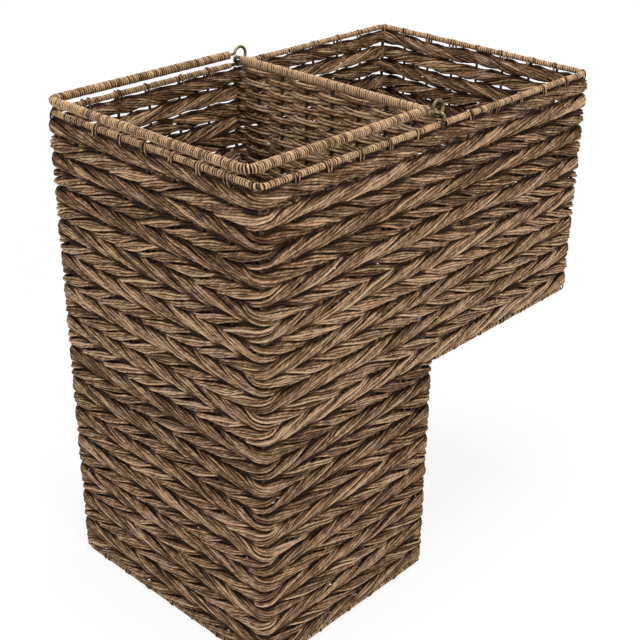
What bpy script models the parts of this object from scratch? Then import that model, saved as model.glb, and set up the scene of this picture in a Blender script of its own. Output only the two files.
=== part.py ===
"""Stair basket: a deep woven column for the lower step, and a shallow woven shelf for the upper one.

Units are metres, Z is up and the front of the basket faces -Y. The origin is on the floor, under the
middle of the basket. A steel wire frame carries the weave. A wound bail handle folds on a pivot wire
that runs along the top of the divider.
"""

import math

import bmesh
import bpy
from mathutils import Matrix, Vector
from mathutils.kdtree import KDTree

# Overall sizes, outside the weave
BASKET_WIDTH = 0.229
BASKET_LENGTH = 0.382
COLUMN_DEPTH = 0.194
RIM_HEIGHT = 0.394
SHELF_HEIGHT = 0.197

# Woven walls
WALL_THICKNESS = 0.010
WALL_RIB_DEPTH = 0.0009
WALL_HOLLOW_DEPTH = 0.0030
ROW_CREST_SHARE = 0.5
UPPER_ROWS = 14
COLUMN_ROWS = 14
CORNER_RADIUS = 0.006

# Divider and floors, in a finer plain weave
PANEL_THICKNESS = 0.0044
PANEL_RIB_DEPTH = 0.0005
PANEL_RIB_PITCH = 0.0112
PANEL_WALL_CLEARANCE = 0.0008

# Frame wires
RIM_WIRE_RADIUS = 0.0015
BASE_WIRE_RADIUS = 0.0015
POST_RADIUS = 0.0015
STAKE_RADIUS = 0.0012
STAKE_BEND_RADIUS = 0.005
PIVOT_WIRE_RADIUS = 0.0015
PIVOT_RISE = 0.0066
PIVOT_BEND_RADIUS = 0.0022
RAIL_WIRE_RADIUS = 0.00125

# Wound cord over the wires
RIM_WRAP_RADIUS = 0.0024
BASE_WRAP_RADIUS = 0.0023
RAIL_WRAP_WALL = 0.0008
RIM_WRAP_GAP = 0.0072

# Bail handle
HANDLE_INSET = 0.006
HANDLE_WIRE_RADIUS = 0.00125
HANDLE_WRAP_RADIUS = 0.0034
HANDLE_OVERHANG = 0.0046
HANDLE_ARM_RISE = 0.0044
HANDLE_BEND_RADIUS = 0.008
HANDLE_BARE_LENGTH = 0.012
EYE_RADIUS = 0.00615
EYE_NECK_RADIUS = 0.00125
EYE_END_GAP = 0.0005
RAIL_EYE_GAP = 0.0006

# Fits and counts
CLEARANCE = 0.0003
OVERRUN = 0.002
WELD_DISTANCE = 0.000003
COLUMN_CROSS_STAKES = 5
SHELF_CROSS_STAKES = 5
LONG_STAKES = 7
WIRE_RESOLUTION = 2
STAKE_RESOLUTION = 1
CORNER_STEPS = 2
BEND_STEPS = 2
EYE_STEPS = 18
STADIUM_STEPS = 6

# Planes of the wall centres, set back by half of what the handle reaches past the front
SET_BACK = (HANDLE_OVERHANG + HANDLE_WRAP_RADIUS - WALL_THICKNESS / 2) / 2
SIDE_X = (BASKET_WIDTH - WALL_THICKNESS) / 2
FRONT_Y = SET_BACK - (BASKET_LENGTH - WALL_THICKNESS) / 2
BACK_Y = SET_BACK + (BASKET_LENGTH - WALL_THICKNESS) / 2
STEP_Y = FRONT_Y + COLUMN_DEPTH - WALL_THICKNESS

# Heights of the frame wires and of the weave between them
COLUMN_BASE_Z = BASE_WRAP_RADIUS
SHELF_BASE_Z = SHELF_HEIGHT + BASE_WRAP_RADIUS
COLUMN_WEAVE_BOTTOM = COLUMN_BASE_Z + BASE_WRAP_RADIUS + CLEARANCE
UPPER_WEAVE_BOTTOM = SHELF_BASE_Z + BASE_WRAP_RADIUS + CLEARANCE
COLUMN_WEAVE_TOP = UPPER_WEAVE_BOTTOM - CLEARANCE
UPPER_WEAVE_TOP = RIM_HEIGHT - RIM_WRAP_RADIUS - CLEARANCE
PIVOT_Z = RIM_HEIGHT + PIVOT_RISE
RAIL_WIRE_Z = PIVOT_Z - PIVOT_WIRE_RADIUS - CLEARANCE - RAIL_WIRE_RADIUS
RAIL_WRAP_BOTTOM = RAIL_WIRE_Z - RAIL_WIRE_RADIUS - RAIL_WRAP_WALL
PANEL_TOP = RAIL_WRAP_BOTTOM - CLEARANCE

# Inner faces of the walls, and what the eyes sweep
INNER_X = SIDE_X - WALL_THICKNESS / 2
ARM_X = SIDE_X - HANDLE_INSET
EYE_INNER_FACE = ARM_X - HANDLE_WIRE_RADIUS
EYE_OFFSET = EYE_RADIUS - HANDLE_WIRE_RADIUS - PIVOT_WIRE_RADIUS - CLEARANCE
EYE_SWEEP = EYE_OFFSET + EYE_RADIUS + HANDLE_WIRE_RADIUS

PARTS_NAME = "stair_basket"
CUTTERS_NAME = "stair_basket_cutters"
OCTAGON_HALF_ANGLE = math.radians(22.5)
CORNER_HALF_TURN = math.radians(45)
SHARP_ANGLE = math.radians(50)
FLAT_ANGLE = math.radians(0.1)


def clear_scene():
    """Remove what the scene holds, and add the two collections."""
    for old in list(bpy.data.objects):
        bpy.data.objects.remove(old, do_unlink=True)
    for name in (PARTS_NAME, CUTTERS_NAME):
        collection = bpy.data.collections.new(name)
        bpy.context.scene.collection.children.link(collection)


def plain_material(name, colour, roughness, metallic):
    """A Principled material in one colour."""
    made = bpy.data.materials.new(name)
    made.use_nodes = True
    shader = made.node_tree.nodes["Principled BSDF"]
    shader.inputs["Base Color"].default_value = (*colour, 1.0)
    shader.inputs["Roughness"].default_value = roughness
    shader.inputs["Metallic"].default_value = metallic
    made.diffuse_color = (*colour, 1.0)
    return made


def dark_steel(name):
    """Dark lacquered steel wire, its own material for each piece."""
    return plain_material(name + "_steel", (0.055, 0.048, 0.040), 0.45, 0.9)


def brown_weave(name):
    """Brown twisted strand of the woven walls."""
    return plain_material(name + "_strand", (0.235, 0.160, 0.105), 0.75, 0.0)


def brown_cord(name):
    """Lighter brown cord that is wound round the wires."""
    return plain_material(name + "_cord", (0.315, 0.215, 0.140), 0.72, 0.0)


def keep(item, name, material, parent):
    """Name a finished piece, give it its material and hang it under its body's empty."""
    item.name = name
    item.data.name = name
    item.data.materials.clear()
    item.data.materials.append(material)
    item.parent = parent
    return item


def move_to(item, collection_name):
    """Put an object in one collection only."""
    for old in list(item.users_collection):
        old.objects.unlink(item)
    bpy.data.collections[collection_name].objects.link(item)


def as_cutter(item):
    """Hide a cutting shape from renders and show it as wires."""
    move_to(item, CUTTERS_NAME)
    item.hide_render = True
    item.display_type = "WIRE"
    return item


def filleted(corners, radius, steps):
    """A route through the corners, each inner corner rounded by an arc of the radius."""
    route = [corners[0].copy()]
    for before, corner, after in zip(corners, corners[1:], corners[2:]):
        incoming = (corner - before).normalized()
        outgoing = (after - corner).normalized()
        turn = incoming.angle(outgoing)
        start = corner - incoming * radius * math.tan(turn / 2)
        inward = (outgoing - incoming * incoming.dot(outgoing)).normalized()
        centre = start + inward * radius
        for step in range(steps + 1):
            angle = turn * step / steps
            swing = incoming * math.sin(angle) - inward * math.cos(angle)
            route.append(centre + swing * radius)
    route.append(corners[-1].copy())
    return route


def rounded_loop(front_y, back_y, z, steps):
    """A closed loop round the wall centres, with rounded corners."""
    middle = Vector((0, front_y, z))
    corners = [middle, Vector((SIDE_X, front_y, z)), Vector((SIDE_X, back_y, z)),
               Vector((-SIDE_X, back_y, z)), Vector((-SIDE_X, front_y, z)), middle]
    return filleted(corners, CORNER_RADIUS, steps)[:-1]


def tube_curve(name, routes, radius, resolution, closed=False, tilt=0.0):
    """A curve object with a round bevel along each route."""
    data = bpy.data.curves.new(name, "CURVE")
    data.dimensions = "3D"
    data.bevel_depth = radius
    data.bevel_resolution = resolution
    data.use_fill_caps = not closed
    for route in routes:
        spline = data.splines.new("POLY")
        spline.points.add(len(route) - 1)
        for point, place in zip(spline.points, route):
            point.co = (*place, 1.0)
            point.tilt = tilt
        spline.use_cyclic_u = closed
        spline.use_smooth = True
    item = bpy.data.objects.new(name, data)
    bpy.data.collections[PARTS_NAME].objects.link(item)
    return item


def as_mesh(curve_item):
    """Turn a curve object into a welded mesh object in the same place."""
    bpy.context.view_layer.update()
    evaluated = curve_item.evaluated_get(bpy.context.evaluated_depsgraph_get())
    mesh = bpy.data.meshes.new_from_object(evaluated)
    work = bmesh.new()
    work.from_mesh(mesh)
    bmesh.ops.remove_doubles(work, verts=work.verts, dist=WELD_DISTANCE)
    bmesh.ops.recalc_face_normals(work, faces=work.faces)
    work.to_mesh(mesh)
    work.free()
    made = bpy.data.objects.new(curve_item.name + "_solid", mesh)
    made.matrix_world = curve_item.matrix_world
    bpy.data.collections[PARTS_NAME].objects.link(made)
    bpy.data.objects.remove(curve_item, do_unlink=True)
    return made


def tube_cutter(name, routes, radius, resolution, closed=False):
    """A clearance round each route, to be cut out of what the wires pass through."""
    return as_cutter(as_mesh(tube_curve(name, routes, radius, resolution, closed)))


def box_cutter(name, low, high):
    """A box between two corners, to be cut out."""
    work = bmesh.new()
    place = Matrix.Translation((low + high) / 2) @ Matrix.Diagonal((*(high - low), 1))
    bmesh.ops.create_cube(work, size=1, matrix=place)
    mesh = bpy.data.meshes.new(name)
    work.to_mesh(mesh)
    work.free()
    item = bpy.data.objects.new(name, mesh)
    bpy.data.collections[PARTS_NAME].objects.link(item)
    return as_cutter(item)


def cut(item, cutter):
    """Cut one shape out of another."""
    step = item.modifiers.new("cut_" + cutter.name, "BOOLEAN")
    step.operation = "DIFFERENCE"
    step.solver = "EXACT"
    step.object = cutter


def smooth(item):
    """Shade a meshed round piece smooth, with its sharp edges kept."""
    item.data.shade_smooth()
    item.data.set_sharp_from_angle(angle=SHARP_ANGLE)


def lengthened(route, extra):
    """The same open route with both end points drawn out by the extra length."""
    first = route[0] + (route[0] - route[1]).normalized() * extra
    last = route[-1] + (route[-1] - route[-2]).normalized() * extra
    return [first, *route[1:-1], last]


def ribbed_face(half_thickness, rib_depth, start, end, rows):
    """One face of a woven wall, which swells to a flat crest in the middle of each row."""
    valley = half_thickness - rib_depth
    pitch = (end - start) / rows
    half_crest = pitch * ROW_CREST_SHARE / 2
    face = [(valley, start)]
    for row in range(rows):
        middle = start + (row + 0.5) * pitch
        face.append((half_thickness, middle - half_crest))
        face.append((half_thickness, middle + half_crest))
        face.append((valley, start + (row + 1) * pitch))
    return face


def ribbed_outline(half_thickness, rib_depth, bottom, top, rows):
    """Closed outline of a woven wall that is ribbed on both faces."""
    face = ribbed_face(half_thickness, rib_depth, bottom, top, rows)
    return face + [(-offset, height) for offset, height in reversed(face)]


def outline_curve(name, outline):
    """A closed flat curve through the outline's points."""
    data = bpy.data.curves.new(name, "CURVE")
    data.dimensions = "2D"
    spline = data.splines.new("POLY")
    spline.points.add(len(outline) - 1)
    for point, (across, along) in zip(spline.points, outline):
        point.co = (across, along, 0, 1)
    spline.use_cyclic_u = True
    item = bpy.data.objects.new(name, data)
    bpy.data.collections[PARTS_NAME].objects.link(item)
    return item


def extruded_along_x(name, outline, half_length, centre):
    """A solid whose outline lies in the YZ plane, as long as twice the half length along X."""
    item = outline_curve(name, outline)
    item.data.fill_mode = "BOTH"
    item.data.extrude = half_length
    turn = Matrix(((0, 0, 1, 0), (1, 0, 0, 0), (0, 1, 0, 0), (0, 0, 0, 1)))
    item.matrix_world = Matrix.Translation(centre) @ turn
    made = as_mesh(item)
    made.data.transform(made.matrix_world)
    made.matrix_world = Matrix.Identity(4)
    return made


def lies_between(place, start, end):
    """Whether a place is on the straight between two points, and on neither of them."""
    before = (place - start).length
    after = (end - place).length
    return min(before, after) > WELD_DISTANCE > before + after - (end - start).length


def dotted(route, places):
    """The closed route with the places added to the straights that they lie on."""
    made = []
    for start, end in zip(route, route[1:] + route[:1]):
        made.append(start)
        beside = [place for place in places if lies_between(place, start, end)]
        made += sorted(beside, key=lambda place: (place - start).length)
    return made


def press_in(vert, push):
    """Move one point of a wall, and fold each face at it along the line between the point's neighbours."""
    vert.co += push
    corners = [loop for loop in vert.link_loops if len(loop.face.verts) > 3]
    for loop in corners:
        bmesh.utils.face_split(loop.face, loop.link_loop_prev.vert, loop.link_loop_next.vert)


def press_hollows(work, back_y, bottom, top, rows):
    """Press the outer face in where two rows meet, at each place halfway between two stakes."""
    tree = KDTree(len(work.verts))
    for vert in work.verts:
        tree.insert(vert.co, vert.index)
    tree.balance()
    work.verts.ensure_lookup_table()
    pitch = (top - bottom) / rows
    for place, outward in halfway_places(back_y):
        for row in range(rows + 1):
            spot = place + outward * (WALL_THICKNESS / 2 - WALL_RIB_DEPTH)
            spot.z = bottom + row * pitch
            press_in(work.verts[tree.find(spot)[1]], -outward * WALL_HOLLOW_DEPTH)


def join_inner_strips(work, back_y):
    """Dissolve the points that the inner face's straight ribs don't need."""
    inner = [vert for vert in work.verts if abs(vert.co.x) < SIDE_X and FRONT_Y < vert.co.y < back_y]
    known = set(inner)
    edges = [edge for edge in work.edges if known.issuperset(edge.verts)]
    bmesh.ops.dissolve_limit(work, angle_limit=FLAT_ANGLE, verts=inner, edges=edges)


def woven_sleeve(name, back_y, bottom, top, rows):
    """A ribbed woven wall right round the basket, with hollows between the rows on its outer face."""
    outline = ribbed_outline(WALL_THICKNESS / 2, WALL_RIB_DEPTH, bottom, top, rows)
    profile = outline_curve(name + "_profile", outline)
    profile.data.fill_mode = "NONE"
    places = stake_places(back_y) + [place for place, outward in halfway_places(back_y)]
    route = dotted(rounded_loop(FRONT_Y, back_y, 0, CORNER_STEPS), places)
    path = tube_curve(name, [route], 0, 0, closed=True)
    path.data.twist_mode = "Z_UP"
    path.data.bevel_mode = "OBJECT"
    path.data.bevel_object = profile
    sleeve = as_mesh(path)
    bpy.data.objects.remove(profile, do_unlink=True)
    work = bmesh.new()
    work.from_mesh(sleeve.data)
    press_hollows(work, back_y, bottom, top, rows)
    join_inner_strips(work, back_y)
    work.to_mesh(sleeve.data)
    work.free()
    return sleeve


def spread(start, end, count):
    """Stake places between two wall centres, evenly spaced."""
    return [start + (end - start) * number / (count + 1) for number in range(1, count + 1)]


def between(start, end, count):
    """The places halfway between neighbours among as many stakes and the two wall centres."""
    return [start + (end - start) * (number + 0.5) / (count + 1) for number in range(count + 1)]


def side_spans(back_y):
    """Start, end and stake count of each stretch of a side wall."""
    spans = [(FRONT_Y, STEP_Y, COLUMN_CROSS_STAKES)]
    if back_y > STEP_Y:
        spans.append((STEP_Y, back_y, SHELF_CROSS_STAKES))
    return spans


def stake_places(back_y):
    """Where the stakes stand round one woven wall, and the step posts if they stand in its sides."""
    across = [Vector((x, y, 0)) for x in spread(-SIDE_X, SIDE_X, LONG_STAKES) for y in (FRONT_Y, back_y)]
    rows = [y for span in side_spans(back_y) for y in spread(*span)]
    if back_y > STEP_Y:
        rows.append(STEP_Y)
    return across + [Vector((x, y, 0)) for y in rows for x in (-SIDE_X, SIDE_X)]


def halfway_places(back_y):
    """Places halfway between two uprights round one woven wall, each with its outward direction."""
    across = [(Vector((x, y, 0)), outward) for x in between(-SIDE_X, SIDE_X, LONG_STAKES)
              for y, outward in ((FRONT_Y, Vector((0, -1, 0))), (back_y, Vector((0, 1, 0))))]
    rows = [y for span in side_spans(back_y) for y in between(*span)]
    along = [(Vector((side * SIDE_X, y, 0)), Vector((side, 0, 0))) for y in rows for side in (-1, 1)]
    return across + along


def cross_route(y, base_z):
    """A stake that runs down the left wall, under the floor and up the right wall."""
    floor_z = base_z + BASE_WRAP_RADIUS + CLEARANCE + STAKE_RADIUS
    corners = [Vector((-SIDE_X, y, UPPER_WEAVE_TOP)), Vector((-SIDE_X, y, floor_z)),
               Vector((SIDE_X, y, floor_z)), Vector((SIDE_X, y, UPPER_WEAVE_TOP))]
    return filleted(corners, STAKE_BEND_RADIUS, BEND_STEPS)


def long_floor_z(base_z):
    """Height of the lengthwise floor wires, which lie on the cross wires."""
    return base_z + BASE_WRAP_RADIUS + 2 * CLEARANCE + 3 * STAKE_RADIUS


def column_long_route(x):
    """A stake that runs down the front wall, under the column floor and up the step wall and divider."""
    floor_z = long_floor_z(COLUMN_BASE_Z)
    corners = [Vector((x, FRONT_Y, UPPER_WEAVE_TOP)), Vector((x, FRONT_Y, floor_z)),
               Vector((x, STEP_Y, floor_z)), Vector((x, STEP_Y, PANEL_TOP))]
    return filleted(corners, STAKE_BEND_RADIUS, BEND_STEPS)


def shelf_long_route(x):
    """A stake that runs down the back wall and forward under the shelf floor to the divider."""
    floor_z = long_floor_z(SHELF_BASE_Z)
    tip_y = STEP_Y + STAKE_RADIUS + CLEARANCE
    corners = [Vector((x, BACK_Y, UPPER_WEAVE_TOP)), Vector((x, BACK_Y, floor_z)),
               Vector((x, tip_y, floor_z))]
    return filleted(corners, STAKE_BEND_RADIUS, BEND_STEPS)


def stake_routes():
    """Every stake's route, in four families."""
    column_places = spread(FRONT_Y, STEP_Y, COLUMN_CROSS_STAKES)
    shelf_places = spread(STEP_Y, BACK_Y, SHELF_CROSS_STAKES)
    long_places = spread(-SIDE_X, SIDE_X, LONG_STAKES)
    return {
        "column_cross_stake": [cross_route(y, COLUMN_BASE_Z) for y in column_places],
        "shelf_cross_stake": [cross_route(y, SHELF_BASE_Z) for y in shelf_places],
        "column_long_stake": [column_long_route(x) for x in long_places],
        "shelf_long_stake": [shelf_long_route(x) for x in long_places],
    }


def make_stakes(families, basket):
    """The thin upright wires that the strands are woven round, each bent to form the floor grid too."""
    for family, routes in families.items():
        for number, route in enumerate(routes, start=1):
            name = f"{family}_{number}"
            keep(tube_curve(name, [route], STAKE_RADIUS, STAKE_RESOLUTION), name, dark_steel(name), basket)


def corner_places(front_y, back_y, at_front, at_back):
    """Places of the corner posts, at the middle of the rounded corners."""
    inset = CORNER_RADIUS * (1 - math.cos(CORNER_HALF_TURN))
    places = {}
    for side, x in (("left", inset - SIDE_X), ("right", SIDE_X - inset)):
        places[f"{at_front}_{side}_post"] = (x, front_y + inset)
        places[f"{at_back}_{side}_post"] = (x, back_y - inset)
    return places


def post_routes():
    """The six posts, from their base wire up to the rim wire."""
    top = RIM_HEIGHT - RIM_WIRE_RADIUS - CLEARANCE
    rest = BASE_WIRE_RADIUS + CLEARANCE
    column = corner_places(FRONT_Y, STEP_Y, "front", "step")
    whole = corner_places(FRONT_Y, BACK_Y, "front", "back")
    routes = {name: [Vector((*place, COLUMN_BASE_Z + rest)), Vector((*place, top))]
              for name, place in column.items()}
    for name, place in whole.items():
        if name not in routes:
            routes[name] = [Vector((*place, SHELF_BASE_Z + rest)), Vector((*place, top))]
    return routes


def make_posts(routes, basket):
    """The stouter upright wires at the corners."""
    for name, route in routes.items():
        keep(tube_curve(name, [route], POST_RADIUS, WIRE_RESOLUTION), name, dark_steel(name), basket)


def rim_route():
    """The rim wire's closed loop."""
    return rounded_loop(FRONT_Y, BACK_Y, RIM_HEIGHT, CORNER_STEPS)


def column_base_route():
    """The closed loop under the column."""
    return rounded_loop(FRONT_Y, STEP_Y, COLUMN_BASE_Z, CORNER_STEPS)


def u_route(start_y, end_y, z):
    """Three sides of a loop: from the start along the right side, across at the end and back on the left."""
    corners = [Vector((SIDE_X, start_y, z)), Vector((SIDE_X, end_y, z)),
               Vector((-SIDE_X, end_y, z)), Vector((-SIDE_X, start_y, z))]
    return filleted(corners, CORNER_RADIUS, CORNER_STEPS)


def shelf_base_route():
    """The wire under the shelf's edge, from one step post round the back to the other."""
    return u_route(STEP_Y + CLEARANCE, BACK_Y, SHELF_BASE_Z)


def shelf_end_routes():
    """The short ways that the shelf's base wire takes into the step wall."""
    start_y = shelf_base_route()[0].y - CLEARANCE
    return [[Vector((x, start_y, SHELF_BASE_Z)), Vector((x, STEP_Y + WALL_THICKNESS, SHELF_BASE_Z))]
            for x in (-SIDE_X, SIDE_X)]


def pivot_route():
    """The handle's pivot wire: straight over the divider, both ends bent down onto the rim wire."""
    foot = RIM_HEIGHT + RIM_WIRE_RADIUS + CLEARANCE
    corners = [Vector((-SIDE_X, STEP_Y, foot)), Vector((-SIDE_X, STEP_Y, PIVOT_Z)),
               Vector((SIDE_X, STEP_Y, PIVOT_Z)), Vector((SIDE_X, STEP_Y, foot))]
    return filleted(corners, PIVOT_BEND_RADIUS, BEND_STEPS)


def rail_wire_route():
    """The divider's own top wire, under the pivot wire."""
    half = EYE_INNER_FACE - RAIL_EYE_GAP - CLEARANCE
    return [Vector((-half, STEP_Y, RAIL_WIRE_Z)), Vector((half, STEP_Y, RAIL_WIRE_Z))]


def make_frame_wires(basket):
    """Rim, bases, pivot and rail wires."""
    wires = (("rim_wire", rim_route(), RIM_WIRE_RADIUS, True),
             ("column_base_wire", column_base_route(), BASE_WIRE_RADIUS, True),
             ("shelf_base_wire", shelf_base_route(), BASE_WIRE_RADIUS, False),
             ("handle_pivot_wire", pivot_route(), PIVOT_WIRE_RADIUS, False),
             ("divider_rail_wire", rail_wire_route(), RAIL_WIRE_RADIUS, False))
    for name, route, radius, closed in wires:
        keep(tube_curve(name, [route], radius, WIRE_RESOLUTION, closed), name, dark_steel(name), basket)


def make_clearances(families, posts):
    """Cutters for what the frame wires pass through."""
    thin = STAKE_RADIUS + CLEARANCE
    cutters = {}
    for family, routes in families.items():
        longer = [lengthened(route, CLEARANCE) for route in routes]
        cutters[family] = tube_cutter(family + "_clearance", longer, thin, STAKE_RESOLUTION)
    longer = [lengthened(route, OVERRUN) for route in posts.values()]
    cutters["posts"] = tube_cutter("post_clearance", longer, POST_RADIUS + CLEARANCE, WIRE_RESOLUTION)
    cutters["rim"] = tube_cutter("rim_clearance", [rim_route()], RIM_WIRE_RADIUS + CLEARANCE,
                                 WIRE_RESOLUTION, closed=True)
    cutters["column_base"] = tube_cutter("column_base_clearance", [column_base_route()],
                                         BASE_WIRE_RADIUS + CLEARANCE, WIRE_RESOLUTION, closed=True)
    cutters["shelf_base"] = tube_cutter("shelf_base_clearance", [shelf_base_route()],
                                        BASE_WIRE_RADIUS + CLEARANCE, WIRE_RESOLUTION)
    cutters["shelf_ends"] = tube_cutter("shelf_end_clearance", shelf_end_routes(),
                                        BASE_WIRE_RADIUS + CLEARANCE, WIRE_RESOLUTION)
    cutters["pivot"] = tube_cutter("pivot_clearance", [pivot_route()], PIVOT_WIRE_RADIUS + CLEARANCE,
                                   WIRE_RESOLUTION)
    cutters["rail"] = tube_cutter("rail_clearance", [lengthened(rail_wire_route(), OVERRUN)],
                                  RAIL_WIRE_RADIUS + CLEARANCE, WIRE_RESOLUTION)
    return cutters


def make_walls(cutters, basket):
    """The woven sleeve of the column and the one above it, with room for the wires inside them."""
    sleeves = (("column_weave", STEP_Y, COLUMN_WEAVE_BOTTOM, COLUMN_WEAVE_TOP, COLUMN_ROWS,
                ("column_cross_stake", "column_long_stake", "posts", "shelf_ends")),
               ("upper_weave", BACK_Y, UPPER_WEAVE_BOTTOM, UPPER_WEAVE_TOP, UPPER_ROWS,
                ("column_cross_stake", "shelf_cross_stake", "column_long_stake", "shelf_long_stake",
                 "posts")))
    for name, back_y, bottom, top, rows, passing in sleeves:
        sleeve = woven_sleeve(name, back_y, bottom, top, rows)
        for family in passing:
            cut(sleeve, cutters[family])
        keep(sleeve, name, brown_weave(name), basket)


def make_divider(cutters, basket):
    """The finer woven wall between the column and the shelf, notched where the eyes swing."""
    rows = max(1, round((PANEL_TOP - UPPER_WEAVE_BOTTOM) / PANEL_RIB_PITCH))
    outline = ribbed_outline(PANEL_THICKNESS / 2, PANEL_RIB_DEPTH, UPPER_WEAVE_BOTTOM, PANEL_TOP, rows)
    panel = extruded_along_x("divider_weave", outline, INNER_X - CLEARANCE, Vector((0, STEP_Y, 0)))
    notch_low = PIVOT_Z - EYE_SWEEP - RAIL_EYE_GAP
    notch_x = EYE_INNER_FACE - RAIL_EYE_GAP
    for side, sign in (("left", -1), ("right", 1)):
        inner = Vector((sign * notch_x, STEP_Y - WALL_THICKNESS, notch_low))
        outer = Vector((sign * SIDE_X, STEP_Y + WALL_THICKNESS, PANEL_TOP + OVERRUN))
        low = Vector((min(inner.x, outer.x), inner.y, inner.z))
        high = Vector((max(inner.x, outer.x), outer.y, outer.z))
        cut(panel, box_cutter(f"eye_notch_{side}", low, high))
    cut(panel, cutters["column_long_stake"])
    cut(panel, cutters["shelf_long_stake"])
    keep(panel, "divider_weave", brown_weave("divider_weave"), basket)


def make_floor(name, front_y, back_y, base_z, cutter, basket):
    """A woven floor mat on the lengthwise floor wires, which sink into its underside."""
    middle = (front_y + back_y) / 2
    depth = back_y - front_y
    rows = max(1, round(depth / PANEL_RIB_PITCH))
    bottom = long_floor_z(base_z) - STAKE_RADIUS
    half = PANEL_THICKNESS / 2
    upper_face = ribbed_face(half, PANEL_RIB_DEPTH, depth / 2, -depth / 2, rows)
    outline = [(-depth / 2, -half), (depth / 2, -half)] + [(along, across) for across, along in upper_face]
    centre = Vector((0, middle, bottom + PANEL_THICKNESS / 2))
    mat = extruded_along_x(name, outline, INNER_X - PANEL_WALL_CLEARANCE, centre)
    cut(mat, cutter)
    keep(mat, name, brown_weave(name), basket)


def make_floors(cutters, basket):
    """The column's floor and the shelf's floor."""
    half_wall = WALL_THICKNESS / 2
    edge = half_wall + PANEL_WALL_CLEARANCE
    make_floor("column_floor_weave", FRONT_Y + edge, STEP_Y - edge, COLUMN_BASE_Z,
               cutters["column_long_stake"], basket)
    divider_face = STEP_Y + PANEL_THICKNESS / 2 + PANEL_WALL_CLEARANCE
    make_floor("shelf_floor_weave", divider_face, BACK_Y - edge, SHELF_BASE_Z,
               cutters["shelf_long_stake"], basket)


def wrap_piece(name, route, radius, closed, bores, basket, flat_below=False):
    """A wound cord sleeve round a wire, with the wire's room cut out of it."""
    tilt = OCTAGON_HALF_ANGLE if flat_below else 0.0
    depth = radius / math.cos(OCTAGON_HALF_ANGLE) if flat_below else radius
    wrap = as_mesh(tube_curve(name, [route], depth, WIRE_RESOLUTION, closed, tilt))
    for bore in bores:
        cut(wrap, bore)
    smooth(wrap)
    return keep(wrap, name, brown_cord(name), basket)


def make_wraps(cutters, basket):
    """The wound cord on the rim, in two lengths, and on both base wires."""
    gap = RIM_WRAP_GAP / 2
    rim_bores = (cutters["rim"], cutters["posts"])
    wrap_piece("front_rim_wrap", u_route(STEP_Y - gap, FRONT_Y, RIM_HEIGHT), RIM_WRAP_RADIUS, False,
               rim_bores, basket)
    wrap_piece("rear_rim_wrap", u_route(STEP_Y + gap, BACK_Y, RIM_HEIGHT), RIM_WRAP_RADIUS, False,
               rim_bores, basket)
    wrap_piece("column_base_wrap", column_base_route(), BASE_WRAP_RADIUS, True,
               (cutters["column_base"], cutters["posts"]), basket, flat_below=True)
    start = STEP_Y + WALL_THICKNESS / 2 + CLEARANCE
    wrap_piece("shelf_base_wrap", u_route(start, BACK_Y, SHELF_BASE_Z), BASE_WRAP_RADIUS, False,
               (cutters["shelf_base"], cutters["posts"]), basket, flat_below=True)


def stadium_outline(low_z, high_z, low_radius, high_radius):
    """Closed outline round two circles, one above the other."""
    outline = []
    for centre, radius, start in ((high_z, high_radius, 0.0), (low_z, low_radius, math.pi)):
        for step in range(STADIUM_STEPS + 1):
            angle = start + math.pi * step / STADIUM_STEPS
            outline.append((radius * math.cos(angle), centre + radius * math.sin(angle)))
    return outline


def make_rail_wrap(cutters, basket):
    """The cord that binds the pivot wire to the divider's top wire."""
    outline = stadium_outline(RAIL_WIRE_Z, PIVOT_Z, RAIL_WIRE_RADIUS + RAIL_WRAP_WALL,
                              PIVOT_WIRE_RADIUS + RAIL_WRAP_WALL)
    half = EYE_INNER_FACE - RAIL_EYE_GAP
    wrap = extruded_along_x("divider_rail_wrap", outline, half, Vector((0, STEP_Y, 0)))
    cut(wrap, cutters["pivot"])
    cut(wrap, cutters["rail"])
    smooth(wrap)
    keep(wrap, "divider_rail_wrap", brown_cord("divider_rail_wrap"), basket)


def eye_route():
    """The eye in the YZ plane, from its free end round to the arm, measured from the pivot axis.

    The eye's circle stands over the pivot wire. The arm meets it at the arm's height, through a tight neck.
    """
    meet = math.asin((HANDLE_ARM_RISE - EYE_OFFSET) / EYE_RADIUS)
    neck_turn = math.pi / 2 - meet
    neck_setback = 2 * EYE_NECK_RADIUS * math.tan(neck_turn / 2)
    first = meet + neck_setback / EYE_RADIUS
    end_gap = 2 * HANDLE_WIRE_RADIUS + EYE_END_GAP
    last = meet + 2 * math.pi - 2 * math.asin(end_gap / (2 * EYE_RADIUS))
    route = []
    for step in range(EYE_STEPS + 1):
        angle = last + (first - last) * step / EYE_STEPS
        route.append(Vector((0, -EYE_RADIUS * math.cos(angle), EYE_OFFSET + EYE_RADIUS * math.sin(angle))))
    corner = Vector((0, -EYE_RADIUS * math.cos(meet), HANDLE_ARM_RISE))
    arm = corner - Vector((0, HANDLE_BARE_LENGTH, 0))
    return route[:-1] + filleted([route[-1], corner, arm], EYE_NECK_RADIUS, BEND_STEPS)[:-1]


def handle_corners():
    """The handle's two front corners and the places where its cord ends, from the pivot axis."""
    reach = FRONT_Y - HANDLE_OVERHANG - STEP_Y
    right = [Vector((ARM_X, -HANDLE_BARE_LENGTH, HANDLE_ARM_RISE)), Vector((ARM_X, reach, HANDLE_ARM_RISE))]
    left = [Vector((-place.x, place.y, place.z)) for place in reversed(right)]
    return right + left


def handle_wire_route():
    """Eye, arm, front bar, arm and eye in one length of wire."""
    right_eye = [place + Vector((ARM_X, 0, 0)) for place in eye_route()]
    left_eye = [place - Vector((ARM_X, 0, 0)) for place in reversed(eye_route())]
    bow = filleted(handle_corners(), HANDLE_BEND_RADIUS, CORNER_STEPS)
    return right_eye + bow + left_eye


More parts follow.
